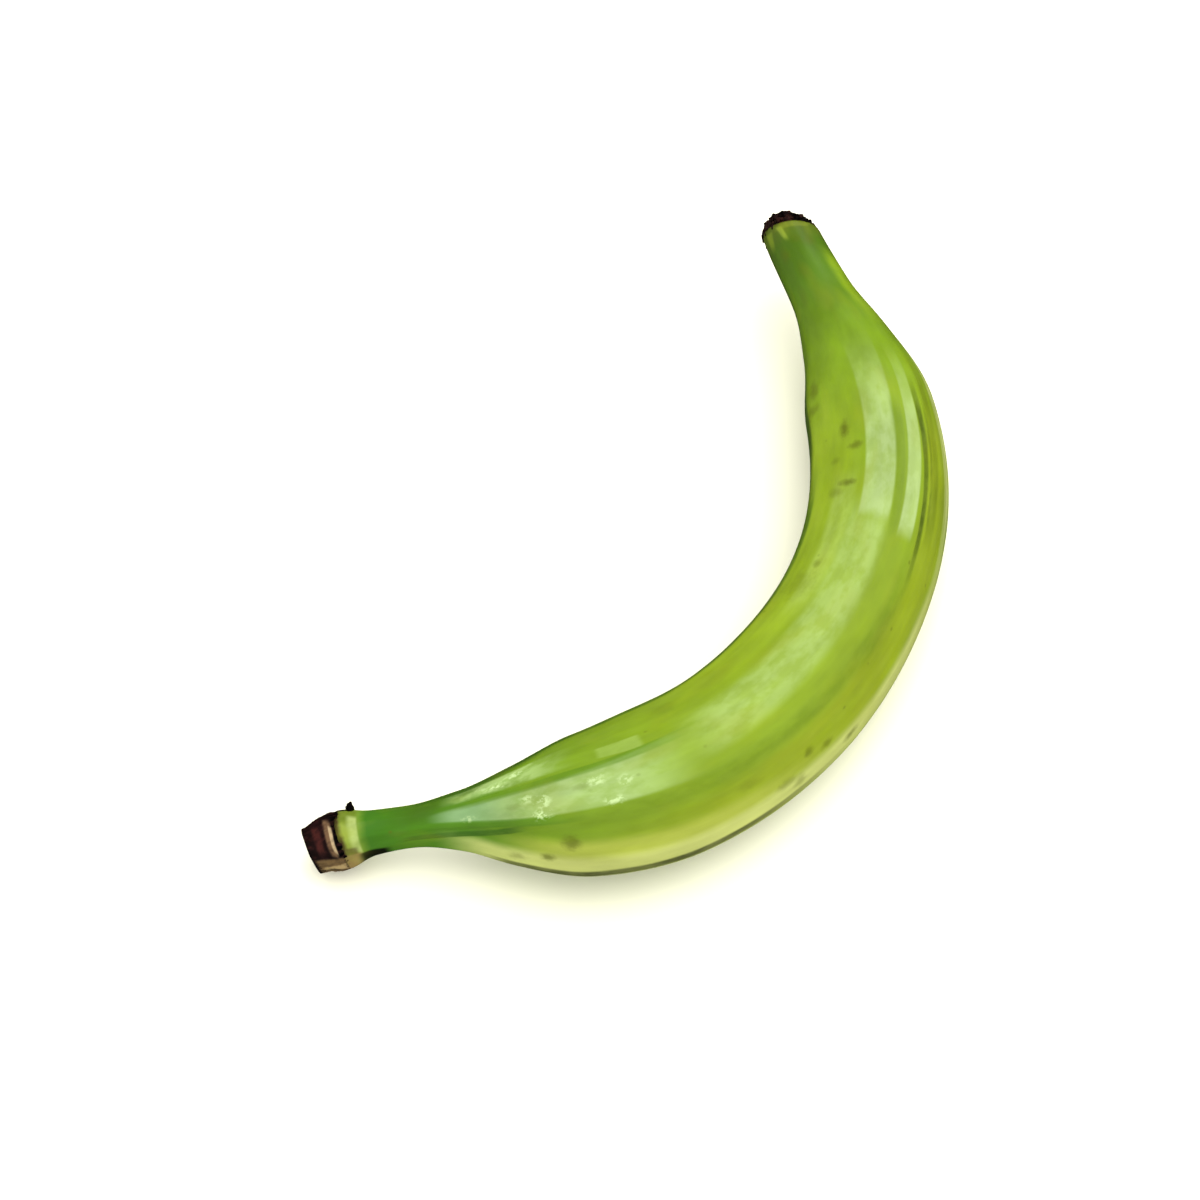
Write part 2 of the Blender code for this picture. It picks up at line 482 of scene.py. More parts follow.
class SweptSkin:
    """Geometry Nodes that wrap one closed skin round rings along the fruit.

    Each ring is a loose point that carries its section's directions, radius, flatness, sharpness and
    place. The tree lays a grid over rings and angles, gives it the ridged section, the ribs and the
    reliefs, and keeps it above the floor. It stores where each point would be if the fruit were
    straight, with its middle line along X, because the materials' patterns follow the fruit.
    """

    def __init__(
        self, name: str, ridges: tuple[float, ...], ribs: tuple[Rib, ...], reliefs: tuple[Relief, ...]
    ) -> None:
        """Builds the tree.

        Args:
            name: The tree's name.
            ridges: The section's ridges, in degrees from the top towards the outer side.
            ribs: Ribs and grooves.
            reliefs: Layers of unevenness.
        """
        sizes = [f"{part} {k}" for k in range(len(reliefs)) for part in ("Height", "Along", "Round")]
        kinds = {"Sides": "NodeSocketInt", "Seed": "NodeSocketFloat", "Material": "NodeSocketMaterial"}
        kinds.update({size: "NodeSocketFloat" for size in sizes})
        self.tree, self.given = geometry_tree(name, kinds)
        self.reliefs = reliefs
        self._lay_grid()
        radius = self._section_radius(ridges)
        for rib in ribs:
            radius = self._ribbed(radius, rib)
        self._find_straight_place(radius)
        for layer in range(len(reliefs)):
            radius = self._uneven(radius, layer)
        self._finish(radius)

    def _lay_grid(self) -> None:
        """Lays the grid over rings and angles, and reads each grid point's ring."""
        tree, given = self.tree, self.given
        rings = add_node(tree, "GeometryNodeAttributeDomainSize", (given.outputs["Geometry"],))
        columns = add_node(tree, MATH, (given.outputs["Sides"], 1.0), "ADD")
        grid = {"Size X": 1.0, "Size Y": 1.0, "Vertices X": rings, "Vertices Y": columns}
        self.grid = add_node(tree, "GeometryNodeMeshGrid", grid)
        spot = add_node(tree, "ShaderNodeSeparateXYZ", (add_node(tree, "GeometryNodeInputPosition"),))
        last = add_node(tree, MATH, (rings, 1.0), "SUBTRACT")
        share = add_node(tree, MATH, (spot.outputs["X"], 0.5), "ADD")
        exact = add_node(tree, MATH, (share, last), "MULTIPLY")
        ring = add_node(tree, MATH, (exact,), "ROUND")
        self.angle = add_node(tree, MATH, (spot.outputs["Y"], math.tau), "MULTIPLY")
        kinds = {"upward": "FLOAT_VECTOR", "outward": "FLOAT_VECTOR", "centre": "FLOAT_VECTOR"}
        kinds.update(dict.fromkeys(("reach", "share", "flatness", "sharpness", "place"), "FLOAT"))
        self.ring = {}
        for label, kind in kinds.items():
            stored = add_node(tree, ATTRIBUTE, {"Name": label}, data_type=kind)
            source = {"Geometry": given.outputs["Geometry"], "Value": stored, "Index": ring}
            sampled = add_node(tree, "GeometryNodeSampleIndex", source, data_type=kind)
            self.ring[label] = sampled.outputs[0]

    def _section_radius(self, ridges: tuple[float, ...]) -> Node:
        """Adds the radius of the ridged section, a polygon softened by its flatness and sharpness.

        Args:
            ridges: The section's ridges, in degrees.

        Returns:
            The node whose output is the radius at each point.
        """
        tree, total = self.tree, 0.0
        for middle, half in facets(ridges):
            turned = add_node(tree, MATH, (self.angle, middle), "SUBTRACT")
            level = add_node(tree, MATH, (turned,), "COSINE")
            reach = add_node(tree, MATH, (level, math.cos(half)), "DIVIDE")
            facing = add_node(tree, MATH, (reach, 0.0), "MAXIMUM")
            powered = add_node(tree, MATH, (facing, self.ring["sharpness"]), "POWER")
            total = add_node(tree, MATH, (powered, total), "ADD")
        root = add_node(tree, MATH, (-1.0, self.ring["sharpness"]), "DIVIDE")
        polygon = add_node(tree, MATH, (total, root), "POWER")
        shape = add_node(tree, MIX, {"Factor": self.ring["flatness"], "A": 1.0, "B": polygon})
        return add_node(tree, MATH, (shape, self.ring["reach"]), "MULTIPLY")

    def _ribbed(self, radius: Node, rib: Rib) -> Node:
        """Adds one rib or groove to the radius."""
        mask = rib.stroke.mask(self.tree, self.ring["place"], self.angle.outputs[0], self.ring["reach"])
        return add_node(self.tree, MATH, (mask, rib.height * MM, radius), "MULTIPLY_ADD")

    def _across_section(self, radius: Node) -> tuple[Node, Node]:
        """Adds how far out and how far up a point lies from its section's centre.

        Args:
            radius: The radius at each point.

        Returns:
            The nodes for the distance out and the distance up.
        """
        tree = self.tree
        sine = add_node(tree, MATH, (self.angle,), "SINE")
        cosine = add_node(tree, MATH, (self.angle,), "COSINE")
        out = add_node(tree, MATH, (sine, radius), "MULTIPLY")
        up = add_node(tree, MATH, (cosine, radius), "MULTIPLY")
        return out, up

    def _find_straight_place(self, radius: Node) -> None:
        """Adds each point's place on the straightened fruit: along, outward and up."""
        out, up = self._across_section(radius)
        self.straight = add_node(self.tree, COMBINE, (self.ring["place"], out, up))

    def _uneven(self, radius: Node, layer: int) -> Node:
        """Adds one layer of unevenness to the radius, fading towards the middle of an end.

        Args:
            radius: The radius so far.
            layer: The layer's number, which its named inputs carry.

        Returns:
            The node whose output is the uneven radius.
        """
        tree, given = self.tree, self.given
        along, round_ = given.outputs[f"Along {layer}"], given.outputs[f"Round {layer}"]
        grain = add_node(tree, COMBINE, (along, round_, round_))
        scaled = add_node(tree, VECTOR, (self.straight, grain), "DIVIDE")
        seed = add_node(tree, MATH, (given.outputs["Seed"], float(layer)), "ADD")
        uneven = {"Vector": scaled, "W": seed, "Scale": 1.0, "Detail": 2.0, "Roughness": 0.5}
        noise = add_node(tree, NOISE, uneven, noise_dimensions="4D")
        centred = add_node(tree, MATH, (noise.outputs[0], 0.5), "SUBTRACT")
        raised = add_node(tree, MATH, (centred, given.outputs[f"Height {layer}"]), "MULTIPLY")
        return add_node(tree, MATH, (raised, self.ring["share"], radius), "MULTIPLY_ADD")

    def _finish(self, radius: Node) -> None:
        """Moves the grid to the skin, sews it shut, stores the straight place and sets the finish.

        Args:
            radius: The finished radius.
        """
        tree, given = self.tree, self.given
        out, up = self._across_section(radius)
        outward = add_node(tree, VECTOR, {0: self.ring["outward"], "Scale": out}, "SCALE")
        upward = add_node(tree, VECTOR, {0: self.ring["upward"], "Scale": up}, "SCALE")
        leaning = add_node(tree, VECTOR, (outward, upward), "ADD")
        skin = add_node(tree, VECTOR, (leaning, self.ring["centre"]), "ADD")
        above_floor = add_node(tree, VECTOR, (skin, (-1.0, -1.0, 0.0)), "MAXIMUM")
        kept = {"Geometry": self.grid.outputs["Mesh"], "Name": STRAIGHT, "Value": self.straight}
        stored = add_node(tree, "GeometryNodeStoreNamedAttribute", kept, data_type="FLOAT_VECTOR")
        moved = add_node(tree, "GeometryNodeSetPosition", {"Geometry": stored, "Position": above_floor})
        sewn = add_node(tree, "GeometryNodeMergeByDistance", {"Geometry": moved, "Distance": SEAM})
        end_tree(tree, sewn, given.outputs["Material"])

    def wrap(self, piece: "SkinPiece") -> Object:
        """Wraps the skin round a piece's rings.

        Args:
            piece: The piece's sizes, seed and finish.

        Returns:
            The finished mesh object, with its middle line starting over the origin.
        """
        rings = piece.rings()
        centres, upward, outward = piece.form.frames(rings.places)
        carried = {
            "centre": centres * MM,
            "upward": upward,
            "outward": outward,
            "reach": rings.radii * rings.shares * MM,
            "share": rings.shares,
            "flatness": rings.flatness,
            "sharpness": rings.sharpness,
            "place": rings.places * MM,
        }
        points = point_cloud(piece.name, centres * MM, carried)
        values = {"Sides": piece.sides, "Seed": piece.seed, "Material": piece.finish.material()}
        for layer, relief in enumerate(self.reliefs):
            values[f"Height {layer}"] = relief.height * MM
            values[f"Along {layer}"] = relief.along * MM
            values[f"Round {layer}"] = relief.round * MM
        return grown_mesh(points, self.tree, values)


# ------------------------------------------------------------------ finishes


@dataclass(frozen=True)
class Tint:
    """A stroke of another colour. Broken says how far noise breaks it up, from 0 to 1."""

    stroke: Stroke
    colour: str
    strength: float
    broken: float = 0.0


@dataclass(frozen=True)
class Mark:
    """A mark on the skin: its place, angle and half sizes in millimetres and degrees, and depth."""

    place: float
    angle: float
    along: float
    round: float
    depth: float


class SkinShader:
    """A material that is being built, whose patterns follow the skin.

    They read the straightened place, in metres: X along the middle line, Y outwards and Z up.
    """

    def __init__(self, name: str) -> None:
        """Starts the material and reads the place along the fruit and the angle round it.

        Args:
            name: The material's name.
        """
        self.material = bpy.data.materials.new(name)
        self.material.use_nodes = True
        self.tree = self.material.node_tree
        self.shader = self.tree.nodes["Principled BSDF"]
        stored = add_node(self.tree, "ShaderNodeAttribute", attribute_name=STRAIGHT)
        self.straight = stored.outputs["Vector"]
        split = add_node(self.tree, "ShaderNodeSeparateXYZ", (self.straight,))
        self.place, out, up = split.outputs
        self.angle = add_node(self.tree, MATH, (out, up), "ARCTAN2").outputs[0]
        across = add_node(self.tree, COMBINE, (out, up))
        self.reach = add_node(self.tree, VECTOR, (across,), "LENGTH").outputs["Value"]

    def grain(self, along: float, round_: float, seed: float, detail: float = 2.0) -> Node:
        """Adds noise over the straightened fruit.

        Args:
            along: The grain's length along the fruit, in millimetres.
            round_: Its width round the fruit, in millimetres.
            seed: Picks the noise.
            detail: How many finer layers it has.

        Returns:
            The noise node, whose first output runs from 0 to 1 round 0.5.
        """
        size = (along * MM, round_ * MM, round_ * MM)
        sized = add_node(self.tree, VECTOR, (self.straight, size), "DIVIDE")
        layers = {"Scale": 1.0, "Detail": detail, "Roughness": 0.55}
        return add_node(self.tree, NOISE, {"Vector": sized, "W": seed, **layers}, noise_dimensions="4D")

    def lengthwise(self, tints: Shades, reach: float, wander: float) -> Node:
        """Adds colours that change along the fruit, with uneven borders.

        Args:
            tints: Places in millimetres and the colours there.
            reach: How long the uneven borders' grain is, in millimetres.
            wander: How far a border wanders, in millimetres.

        Returns:
            The ramp node, whose first output is the colour.
        """
        tree, first, last = self.tree, tints[0][0], tints[-1][0]
        uneven = self.grain(reach, reach * 0.6, 3.1)
        shift = add_node(tree, MATH, (uneven, 0.5), "SUBTRACT")
        place = add_node(tree, MATH, (shift, wander * MM, self.place), "MULTIPLY_ADD")
        share = add_node(tree, RANGE, (place, first * MM, last * MM))
        ramp = add_node(tree, "ShaderNodeValToRGB", (share,))
        stops = ramp.color_ramp.elements
        for k, (at, tint) in enumerate(tints):
            stop = stops[k] if k < len(stops) else stops.new(1.0)
            stop.position, stop.color = (at - first) / (last - first), linear(tint)
        return ramp

    def tinted(self, colour: Socket, tints: tuple[Tint, ...], breaks: Socket) -> Socket:
        """Adds strokes of other colours.

        Args:
            colour: The colour under them.
            tints: The strokes, each over the ones before it.
            breaks: Noise from 0 to 1 that breaks up the strokes that ask for it.

        Returns:
            The colour socket.
        """
        tree, under = self.tree, colour
        for tint in tints:
            mask = tint.stroke.mask(tree, self.place, self.angle, self.reach)
            if tint.broken:
                whole = {0: breaks, 3: 1.0 - tint.broken, 4: 1.0}
                mask = add_node(tree, MATH, (mask, add_node(tree, RANGE, whole)), "MULTIPLY")
            factor = add_node(tree, MATH, (mask, tint.strength), "MULTIPLY")
            layers = {"Factor": factor, "A": under, "B": linear(tint.colour)}
            under = add_node(tree, MIX, layers, data_type="RGBA").outputs[2]
        return under

    def marked(self, marks: tuple[Mark, ...], wobble: Node) -> Node:
        """Adds a mask of marks, whose edges wobble.

        Args:
            marks: The marks.
            wobble: Noise from 0 to 1.

        Returns:
            The deepest mark's mask at each point.
        """
        tree, deepest = self.tree, 0.0
        for mark in marks:
            turn = math.radians(mark.angle)
            off = add_node(tree, MATH, (self.angle, turn), "SUBTRACT")
            arc = add_node(tree, MATH, (off, self.reach), "MULTIPLY")
            past = add_node(tree, MATH, (self.place, mark.place * MM), "SUBTRACT")
            flat = add_node(tree, COMBINE, (past, arc))
            size = (mark.along * MM, mark.round * MM, 1.0)
            sized = add_node(tree, VECTOR, (flat, size), "DIVIDE")
            gap = add_node(tree, VECTOR, (sized,), "LENGTH").outputs["Value"]
            uneven = add_node(tree, MATH, (wobble, MARK_WOBBLE, gap), "MULTIPLY_ADD")
            limits = {0: uneven, 1: MARK_RIM, 2: MARK_CORE, 4: mark.depth}
            spot = add_node(tree, RANGE, limits, interpolation_type="SMOOTHSTEP")
            deepest = add_node(tree, MATH, (spot, deepest), "MAXIMUM")
        return deepest


# Where the ribs and the marked lines run along the peel, and the painted shade line along the belly's
# lower edge.
NECK_RIB = Stroke(33, 112, (-2, -6.5), (0.5, 0.9), 0.7, (20, 20))
NECK_LINE = Stroke(30, 76, (31, 31), (0.4, 0.9), 0.7, (12, 12))
FLANK_LINE = Stroke(24, 62, (63, 36), (0.4, 0.6), 0.6, (6, 6))
LONG_LINE = Stroke(60, 196, (32, 37), (1.2, 1), 2.4, (20, 20))
DEEP_GROOVE = Stroke(176, 250, (41, 26), (0.35, 0.5), 0.9, (20, 20))
SIDE_GROOVE = Stroke(194, 240, (44, 34), (0.2, 0.3), 0.6, (12, 12))
TOP_GROOVE = Stroke(188, 240, (14, 8), (0.6, 1), 1.2, (8, 8))
INNER_EDGE = Stroke(22, 225, (-66.5, -69), (0.9, 0.9), 1.4, (20, 30))
# A painted shade line, dark along the belly's lower edge.
BELLY_SHADE_LINE = Stroke(44, 150, (98.5, 96), (0.8, 0.7), 1.1, (14, 45))


@dataclass(frozen=True)
class WaxyPeel:
    """Unripe plantain peel: a tough green rind under a thin natural wax.

    The wax gives it a broad, soft sheen with no sharp reflections, and pale bloom with painted
    highlights where it lies thickest, along the top, and painted glints by the neck. The green is
    deepest at both ends and yellowest along the middle.
    """

    lengthwise: Shades = (
        (9, "0f0603"), (10.2, "3a2d10"), (11, "76862a"), (13.6, "7b8d34"), (15.2, "5a7a1a"),
        (17, "34650b"), (31, "3d6b09"), (45, "43700c"), (62, "63820f"), (100, "6e8610"),
        (165, "748a13"), (240, "6e8710"), (262, "68850c"), (276, "5b780c"), (292, "4a6b09"),
        (306, "426008"), (312, "4f600e"), (314.5, "2c1d08"),
    )
    tints: tuple[Tint, ...] = (
        # The flank is yellower, with painted bounce light from the floor along its lower edge. The
        # inner side is greener.
        Tint(Stroke(100, 245, (-50, -50), (4, 5), 7, (30, 20)), "809712", 0.6),
        Tint(Stroke(60, 250, (66, 50), (3, 4), 6, (60, 30)), "7f8e0e", 0.65),
        # Painted bounce light from the floor: these two strokes lighten the flank's lower edge.
        Tint(Stroke(50, 150, (74, 84), (4.2, 4), 4.5, (20, 50)), "98a23c", 0.85),
        Tint(Stroke(34, 214, (92, 88), (3.5, 1.6), 4, (18, 40)), "b2b96c", 0.8),
        # Painted shade: a darker olive stroke along the outer flank towards the blossom end.
        Tint(Stroke(180, 285, (74, 60), (2, 3), 4, (30, 24)), "66760f", 0.5),
        Tint(Stroke(18, 292, (-98, -112), (8, 7), 6.5, (18, 60)), "3a5a08", 0.85),
        Tint(Stroke(218, 264, (-76, -86), (1.2, 1), 2.2, (16, 12)), "38540a", 0.65),
        Tint(Stroke(266, 304, (36, 40), (2, 1.6), 3, (10, 8)), "78900c", 0.7, 0.3),
        Tint(Stroke(268, 312, (-98, -104), (0.6, 0.6), 1.4, (16, 1)), "2f420a", 0.6),
        Tint(Stroke(262, 312, (64, 67), (0.5, 0.5), 1.3, (16, 1)), "2f400a", 0.65),
        # More painted bounce light from the floor along the flank's lower edge, rising towards the
        # blossom end.
        Tint(Stroke(184, 262, (88, 52), (2.3, 1.1), 2, (30, 14)), "b6bf78", 0.65, 0.3),
        Tint(Stroke(188, 258, (50, 37), (1.2, 0.7), 1.6, (14, 14)), "5c6b0b", 0.6, 0.3),
        Tint(Stroke(196, 248, (77, 55), (0.3, 0.3), 0.9, (12, 12)), "5e6c10", 0.5, 0.4),
        # Wax bloom with painted highlights: two facets by the neck, then one broken band along the top.
        Tint(Stroke(33, 62, (13, 13), (0.3, 3.6), 1, (10, 12)), "7d9c6c", 0.75, 0.2),
        Tint(Stroke(46, 108, (14, 9), (2.2, 7), 1, (16, 28)), "91a868", 0.85, 0.4),
        Tint(Stroke(36, 76, (-28, -26), (1.2, 4.2), 1.6, (12, 16)), "93ac66", 0.75, 0.7),
        Tint(Stroke(80, 94, (-17, -14), (1.6, 2.2), 0.7, (2, 2)), "8fa850", 0.45, 0.3),
        Tint(Stroke(100, 206, (2, -9), (4.6, 3.6), 3.6, (18, 18)), "8ea558", 0.62, 0.55),
        Tint(Stroke(150, 214, (-32, -33), (1.6, 2.2), 2.6, (16, 12)), "8fa54c", 0.55, 0.5),
        Tint(Stroke(193, 270, (-3.5, -8), (3.9, 3.8), 0.9, (5, 50)), "92a768", 0.8, 0.4),
        Tint(Stroke(190, 262, (24, 19), (1.9, 1.2), 0.7, (6, 46)), "99ae6e", 0.85, 0.3),
        # The ribs and lines, and the painted shade line along the belly's lower edge.
        Tint(NECK_RIB, "52760a", 0.75, 0.3),
        Tint(NECK_LINE, "44700a", 0.75, 0.2),
        Tint(FLANK_LINE, "2f560c", 0.85, 0.25),
        Tint(LONG_LINE, "5c7410", 0.55, 0.5),
        Tint(DEEP_GROOVE, "44550a", 0.95, 0.25),
        Tint(SIDE_GROOVE, "4e5e0e", 0.6, 0.6),
        Tint(TOP_GROOVE, "5f770b", 0.65, 0.3),
        Tint(INNER_EDGE, "2d4d08", 0.8, 0.2),
        # Painted shade along the belly's lower edge.
        Tint(BELLY_SHADE_LINE, "2a3010", 0.85, 0.15),
        # The collar: darker inside the bend, chalky along its rim and brown below, with a stain.
        Tint(Stroke(10, 15.5, (-45, -18), (3.6, 3), 2, (1, 1.5)), "50620a", 0.75, 0.3),
        Tint(Stroke(11.8, 15.2, (8, 26), (4.5, 4.5), 2, (1.6, 0.7)), "9aa960", 0.75, 0.5),
        Tint(Stroke(10, 14.5, (58, 62), (1.6, 0.8), 1.2, (1, 1.5)), "4a3d14", 0.8, 0.3),
        Tint(Stroke(9, 15.5, (88, 96), (3.6, 2.2), 1, (0.8, 2)), "7d683c", 0.9, 0.3),
        Tint(Stroke(12.5, 23.5, (88, 98), (1.6, 0.9), 1, (2.5, 3)), "0a0603", 0.97, 0.1),
        Tint(Stroke(9, 14, (-71, -67), (1.3, 0.9), 0.8, (0.8, 1.2)), "0a0603", 0.97),
        # Pale nicks under the blossom end's lip.
        Tint(Stroke(305, 312, (-72, -64), (0.3, 0.9), 1, (4, 1)), "84981a", 0.55, 0.4),
        Tint(Stroke(306, 312.5, (-31, -38), (0.2, 0.6), 0.8, (3, 1)), "8c9f30", 0.55, 0.4),
        Tint(Stroke(310.5, 313.2, (-20, 0), (4, 4), 2, (1, 0.5)), "74801a", 0.5, 0.5),
    )
    marks: tuple[Mark, ...] = (
        Mark(228.5, -36, 3.8, 2, 0.8),
        Mark(221, -26, 1.9, 2.6, 0.65),
        Mark(207, -31, 1.8, 3.4, 0.7),
        Mark(204, -41, 2.8, 2.8, 0.4),
        Mark(217, -45, 2, 2, 0.35),
        Mark(251, -63, 4.6, 3, 0.55),
        Mark(243, -67, 2.6, 4, 0.5),
        Mark(167, -42, 8, 6.5, 0.3),
        Mark(176, -36, 2.2, 1.8, 0.45),
        Mark(135.5, 70, 2.2, 1.7, 0.55),
        Mark(130, 63, 1.8, 2.2, 0.6),
        Mark(143.5, 86, 3, 1.8, 0.6),
        Mark(122, 76, 3.4, 2.1, 0.4),
        Mark(126, 84, 2.1, 2.8, 0.4),
        Mark(113, 53, 4.4, 2, 0.25),
        Mark(70.5, 55, 2.6, 2.9, 0.7),
        Mark(64.5, 74, 2, 1.8, 0.7),
        Mark(57, 79, 3, 1.7, 0.4),
        Mark(58, 14, 2.2, 1.2, 0.3),
        Mark(75, 8, 3, 1, 0.25),
        Mark(104, -40, 5, 4, 0.22),
        Mark(295, -30, 4, 2.2, 0.25),
        Mark(305, 4, 2.4, 3, 0.3),
        Mark(303, -50, 3, 2, 0.35),
        Mark(306.5, -14, 2.2, 2.6, 0.3),
        Mark(287, -52, 5, 1.8, 0.2),
    )
    brown: str = "4f5703"
    # Painted glints: small pale highlights on the thickest wax, by the neck.
    glint_marks: tuple[Mark, ...] = (
        Mark(53, -22, 3.6, 1.9, 0.75),
        Mark(58.5, -31, 3, 1.8, 0.75),
        Mark(49, -28, 2.2, 1.4, 0.5),
        Mark(65, 25, 2.8, 1.8, 0.8),
        Mark(61.5, 8, 2.2, 1.4, 0.6),
        Mark(65.5, 13, 2.4, 2.4, 0.7),
        Mark(79, 6, 3.2, 1.6, 0.65),
        Mark(82, 24, 3.4, 1.5, 0.7),
        Mark(86, 12, 2.6, 1.8, 0.5),
        Mark(46, 22, 2.4, 1.2, 0.4),
    )
    # The colour of the painted glints, pale highlights on the wax.
    glint_colour: str = "b9cf93"
    turning: str = "828a10"
    roughness: float = 0.42
    ior: float = 1.35
    fibre_depth: float = 0.04

    def material(self) -> Material:
        """Builds the material.

        Returns:
            The material.
        """
        skin = SkinShader("waxy_plantain_peel")
        tree = skin.tree
        patches = skin.grain(6.5, 3.4, 12.3, 3.0)
        breaks = add_node(tree, RANGE, (patches, 0.4, 0.58))
        base = skin.lengthwise(self.lengthwise, 6.0, 3.0)
        colour = skin.tinted(base.outputs[0], self.tints, breaks.outputs[0])
        # Mottling, then the painted glints: pale highlights by the neck.
        colour = self._with_painted_glints(skin, self._mottled(skin, colour))
        spots = self._spots(skin)
        layers = {"Factor": spots, "A": colour, "B": linear(self.brown)}
        spotted = add_node(tree, MIX, layers, data_type="RGBA")
        tree.links.new(spotted.outputs[2], skin.shader.inputs["Base Color"])
        skin.shader.inputs["IOR"].default_value = self.ior
        self._surface(skin, breaks)
        return skin.material

    def _mottled(self, skin: SkinShader, colour: Socket) -> Socket:
        """Adds cloudy patches and lengthwise streaks, both lighter and darker.

        Args:
            skin: The material that is being built.
            colour: The colour under them.

        Returns:
            The colour socket.
        """
        tree = skin.tree
        cloudy, streaky = skin.grain(22.0, 9.0, 1.7, 3.0), skin.grain(45.0, 2.4, 5.2, 3.0)
        clouds = add_node(tree, RANGE, (cloudy, 0.3, 0.7, 0.84, 1.14))
        streaks = add_node(tree, RANGE, (streaky, 0.3, 0.7, 0.95, 1.05))
        both = add_node(tree, MATH, (clouds, streaks), "MULTIPLY")
        layers = {"Factor": 1.0, "A": colour, "B": both}
        shaded = add_node(tree, MIX, layers, data_type="RGBA", blend_type="MULTIPLY").outputs[2]
        turning = add_node(tree, RANGE, {0: skin.grain(24.0, 9.0, 61.0), 1: 0.52, 2: 0.75, 4: 0.3})
        yellow = {"Factor": turning, "A": shaded, "B": linear(self.turning)}
        return add_node(tree, MIX, yellow, data_type="RGBA").outputs[2]

    def _with_painted_glints(self, skin: SkinShader, colour: Socket) -> Socket:
        """Adds painted glints: small pale highlights on the wax.

        Args:
            skin: The material that is being built.
            colour: The colour under them.

        Returns:
            The colour socket.
        """
        tree = skin.tree
        glint_breakup = add_node(tree, RANGE, (skin.grain(1.5, 1.0, 71.0, 2.0), 0.46, 0.58))
        glint_marks = skin.marked(self.glint_marks, skin.grain(1.8, 1.4, 73.0, 3.0))
        pale = add_node(tree, MATH, (glint_marks, glint_breakup), "MULTIPLY")
        layers = {"Factor": pale, "A": colour, "B": linear(self.glint_colour)}
        return add_node(tree, MIX, layers, data_type="RGBA").outputs[2]

    def _spots(self, skin: SkinShader) -> Node:
        """Adds the brown marks and a few freckles.

        Args:
            skin: The material that is being built.

        Returns:
            The node whose output is 1 in a spot and 0 outside.
        """
        tree = skin.tree
        marks = skin.marked(self.marks, skin.grain(1.8, 1.4, 20.5, 3.0))
        cell = (6.0 * MM, 4.5 * MM, 4.5 * MM)
        cells = add_node(tree, VECTOR, (skin.straight, cell), "DIVIDE")
        freckle = add_node(tree, "ShaderNodeTexVoronoi", {"Vector": cells, "Scale": 1.0})
        dot = add_node(tree, RANGE, (freckle.outputs["Distance"], 0.13, 0.05))
        chosen = add_node(tree, "ShaderNodeSeparateColor", (freckle.outputs["Color"],))
        rare = add_node(tree, RANGE, {0: chosen, 1: 0.8, 2: 0.95, 4: 0.5})
        dots = add_node(tree, MATH, (dot, rare), "MULTIPLY")
        return add_node(tree, MATH, (dots, marks), "MAXIMUM")

    def _surface(self, skin: SkinShader, breaks: Node) -> None:
        """Adds the sheen, broken up where the wax is rubbed, and the fine fibres under it.

        Args:
            skin: The material that is being built.
            breaks: Noise from 0 to 1, high where the wax is whole.
        """
        tree = skin.tree
        rubbed = skin.grain(14.0, 5.0, 31.0, 3.0)
        smudges = add_node(tree, RANGE, (rubbed, 0.3, 0.7, -0.05, 0.08))
        rough = add_node(tree, MATH, (smudges, self.roughness), "ADD")
        broken = add_node(tree, MATH, (breaks, -0.08, rough), "MULTIPLY_ADD")
        tree.links.new(broken.outputs[0], skin.shader.inputs["Roughness"])
        fibres = skin.grain(12.0, 0.9, 40.0, 3.0)
        crinkles = skin.grain(2.4, 2.0, 44.0, 3.0)
        both = add_node(tree, MATH, (crinkles, 0.6, fibres), "MULTIPLY_ADD")
        depth = {"Height": both, "Strength": 0.6, "Distance": self.fibre_depth * MM}
        bump = add_node(tree, "ShaderNodeBump", depth)
        tree.links.new(bump.outputs[0], skin.shader.inputs["Normal"])


@dataclass(frozen=True)
class DriedTissue:
    """Dead plant tissue, dried where the fruit was cut or the flower fell: dull, dark and fibrous."""

    name: str
    lengthwise: Shades
    tints: tuple[Tint, ...]
    fibre: str
    fibre_share: float
    fibre_along: float
    fibre_round: float
    fibre_depth: float = 0.25
    roughness: float = 0.6
    specular: float = 0.2

    def material(self) -> Material:
        """Builds the material.

        Returns:
            The material.
        """
        skin = SkinShader(self.name)
        tree = skin.tree
        strands = skin.grain(self.fibre_along, self.fibre_round, 7.7, 3.0)
        base = skin.lengthwise(self.lengthwise, 3.0, 2.0)
        bright = add_node(tree, RANGE, {0: strands, 1: 0.5, 2: 0.7, 4: self.fibre_share})
        layers = {"Factor": bright, "A": base.outputs[0], "B": linear(self.fibre)}
        streaked = add_node(tree, MIX, layers, data_type="RGBA")
        breaks = add_node(tree, RANGE, (skin.grain(2.5, 2.0, 9.1, 3.0), 0.42, 0.56))
        colour = skin.tinted(streaked.outputs[2], self.tints, breaks.outputs[0])
        tree.links.new(colour, skin.shader.inputs["Base Color"])
        skin.shader.inputs["Roughness"].default_value = self.roughness
        skin.shader.inputs["Specular IOR Level"].default_value = self.specular
        depth = {"Height": strands, "Strength": 0.8, "Distance": self.fibre_depth * MM}
        bump = add_node(tree, "ShaderNodeBump", depth)
        tree.links.new(bump.outputs[0], skin.shader.inputs["Normal"])
        return skin.material


